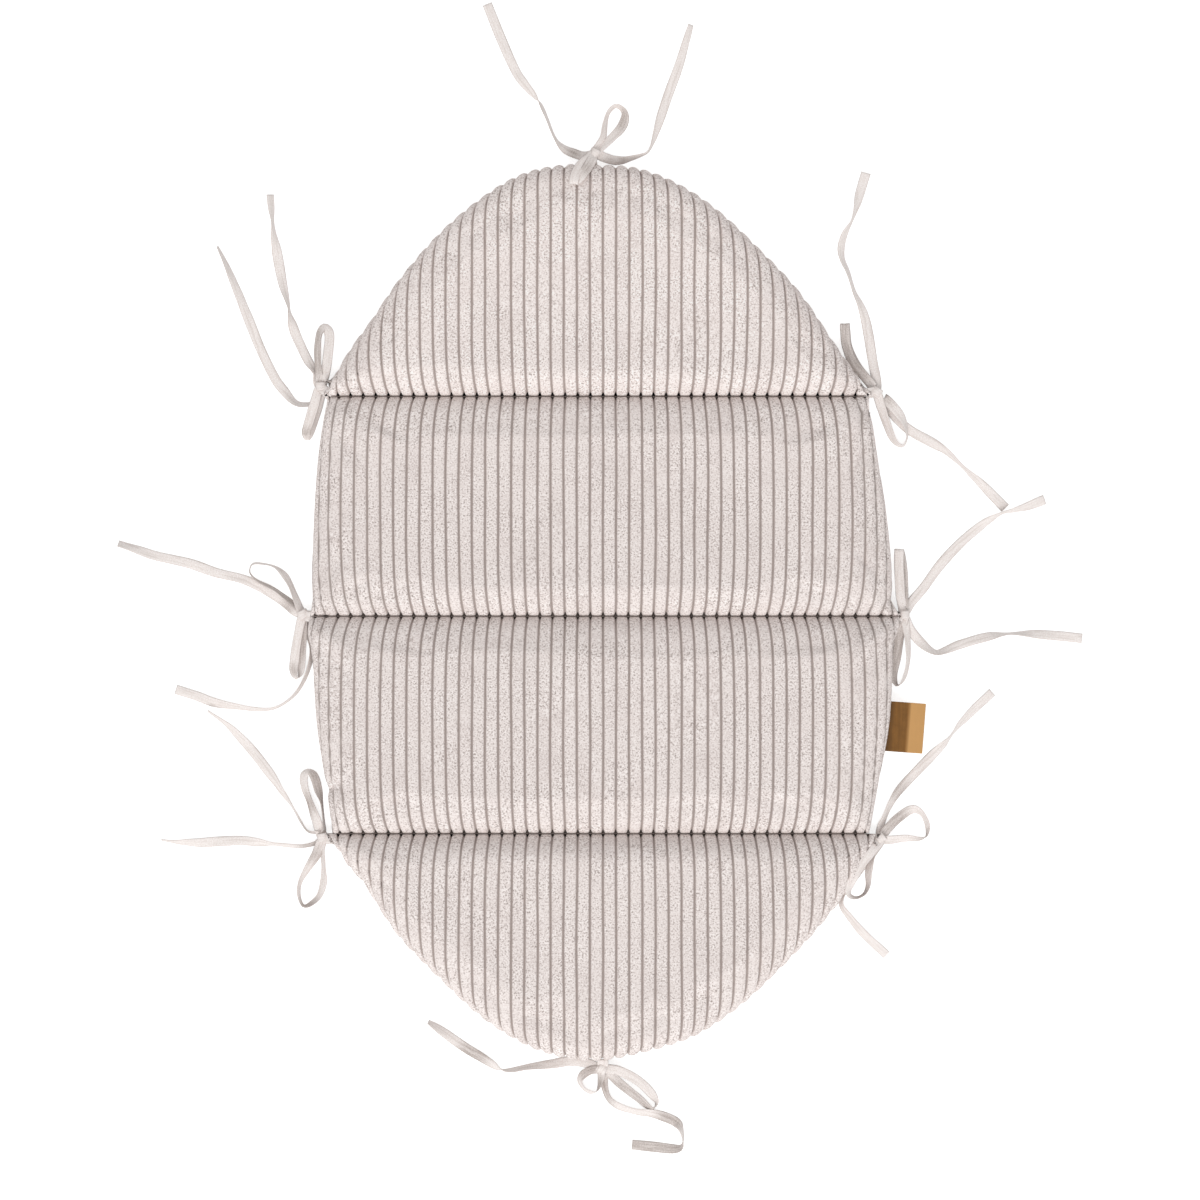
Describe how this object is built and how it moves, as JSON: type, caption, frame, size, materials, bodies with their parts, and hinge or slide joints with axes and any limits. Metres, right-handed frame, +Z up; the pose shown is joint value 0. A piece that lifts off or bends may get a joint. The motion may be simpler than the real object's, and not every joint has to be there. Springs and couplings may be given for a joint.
{
  "type": "infant lounger",
  "caption": "Quilted lounging mat of ribbed padded panels that fold at cross seams, with cotton ties in bows round its edge and a leather tag.",
  "frame": {"origin": "centre of the mat and its tag seen from above, on the floor under the flat back", "axes": "+Y from the foot end to the head end, +X to the side with the leather tag, +Z up out of the ribbed face"},
  "size_m": [0.7905, 0.9477, 0.0321],
  "materials": {
    "corduroy": "wide-ribbed napped cotton, pale blush grey",
    "backing": "plain napped cotton",
    "filling": "loose polyester wadding",
    "tie_cotton": "flat woven cotton tape",
    "leather": "smooth tan leather, lightly waxed",
    "thread": "twisted cotton thread"
  },
  "bodies": {
    "lower_panel": {"lower_front_cover": "corduroy", "lower_back_cover": "backing", "lower_filling": "filling", "lower_left_edge_seam": "backing", "lower_right_edge_seam": "backing", "middle_cross_seam": "corduroy", "foot_cross_seam": "corduroy", "leather_tag": "leather", "tag_stitching": "thread", "middle_left_tie_bow": "tie_cotton", "middle_left_tie_end_1": "tie_cotton", "middle_left_tie_end_2": "tie_cotton", "middle_right_tie_bow": "tie_cotton", "middle_right_tie_end_1": "tie_cotton", "middle_right_tie_end_2": "tie_cotton"},
    "upper_panel": {"upper_front_cover": "corduroy", "upper_back_cover": "backing", "upper_filling": "filling", "upper_left_edge_seam": "backing", "upper_right_edge_seam": "backing", "head_cross_seam": "corduroy"},
    "head_panel": {"head_front_cover": "corduroy", "head_back_cover": "backing", "head_filling": "filling", "head_edge_seam": "backing", "head_tie_bow": "tie_cotton", "head_tie_end_1": "tie_cotton", "head_tie_end_2": "tie_cotton", "head_left_tie_bow": "tie_cotton", "head_left_tie_end_1": "tie_cotton", "head_left_tie_end_2": "tie_cotton", "head_right_tie_bow": "tie_cotton", "head_right_tie_end_1": "tie_cotton", "head_right_tie_end_2": "tie_cotton"},
    "foot_panel": {"foot_front_cover": "corduroy", "foot_back_cover": "backing", "foot_filling": "filling", "foot_edge_seam": "backing", "foot_tie_bow": "tie_cotton", "foot_tie_end_1": "tie_cotton", "foot_tie_end_2": "tie_cotton", "foot_left_tie_bow": "tie_cotton", "foot_left_tie_end_1": "tie_cotton", "foot_left_tie_end_2": "tie_cotton", "foot_right_tie_bow": "tie_cotton", "foot_right_tie_end_1": "tie_cotton", "foot_right_tie_end_2": "tie_cotton"}
  },
  "joints": [
    {"name": "head_fold", "type": "hinge", "parent": "upper_panel", "child": "head_panel", "pos_m": [0, 0.177, 0.013], "axis": [1, 0, 0], "range_deg": [-75, 75]},
    {"name": "middle_fold", "type": "hinge", "parent": "lower_panel", "child": "upper_panel", "pos_m": [0, -0.003, 0.013], "axis": [1, 0, 0], "range_deg": [-75, 75]},
    {"name": "foot_fold", "type": "hinge", "parent": "lower_panel", "child": "foot_panel", "pos_m": [0, -0.181, 0.013], "axis": [1, 0, 0], "range_deg": [-75, 75]}
  ]
}
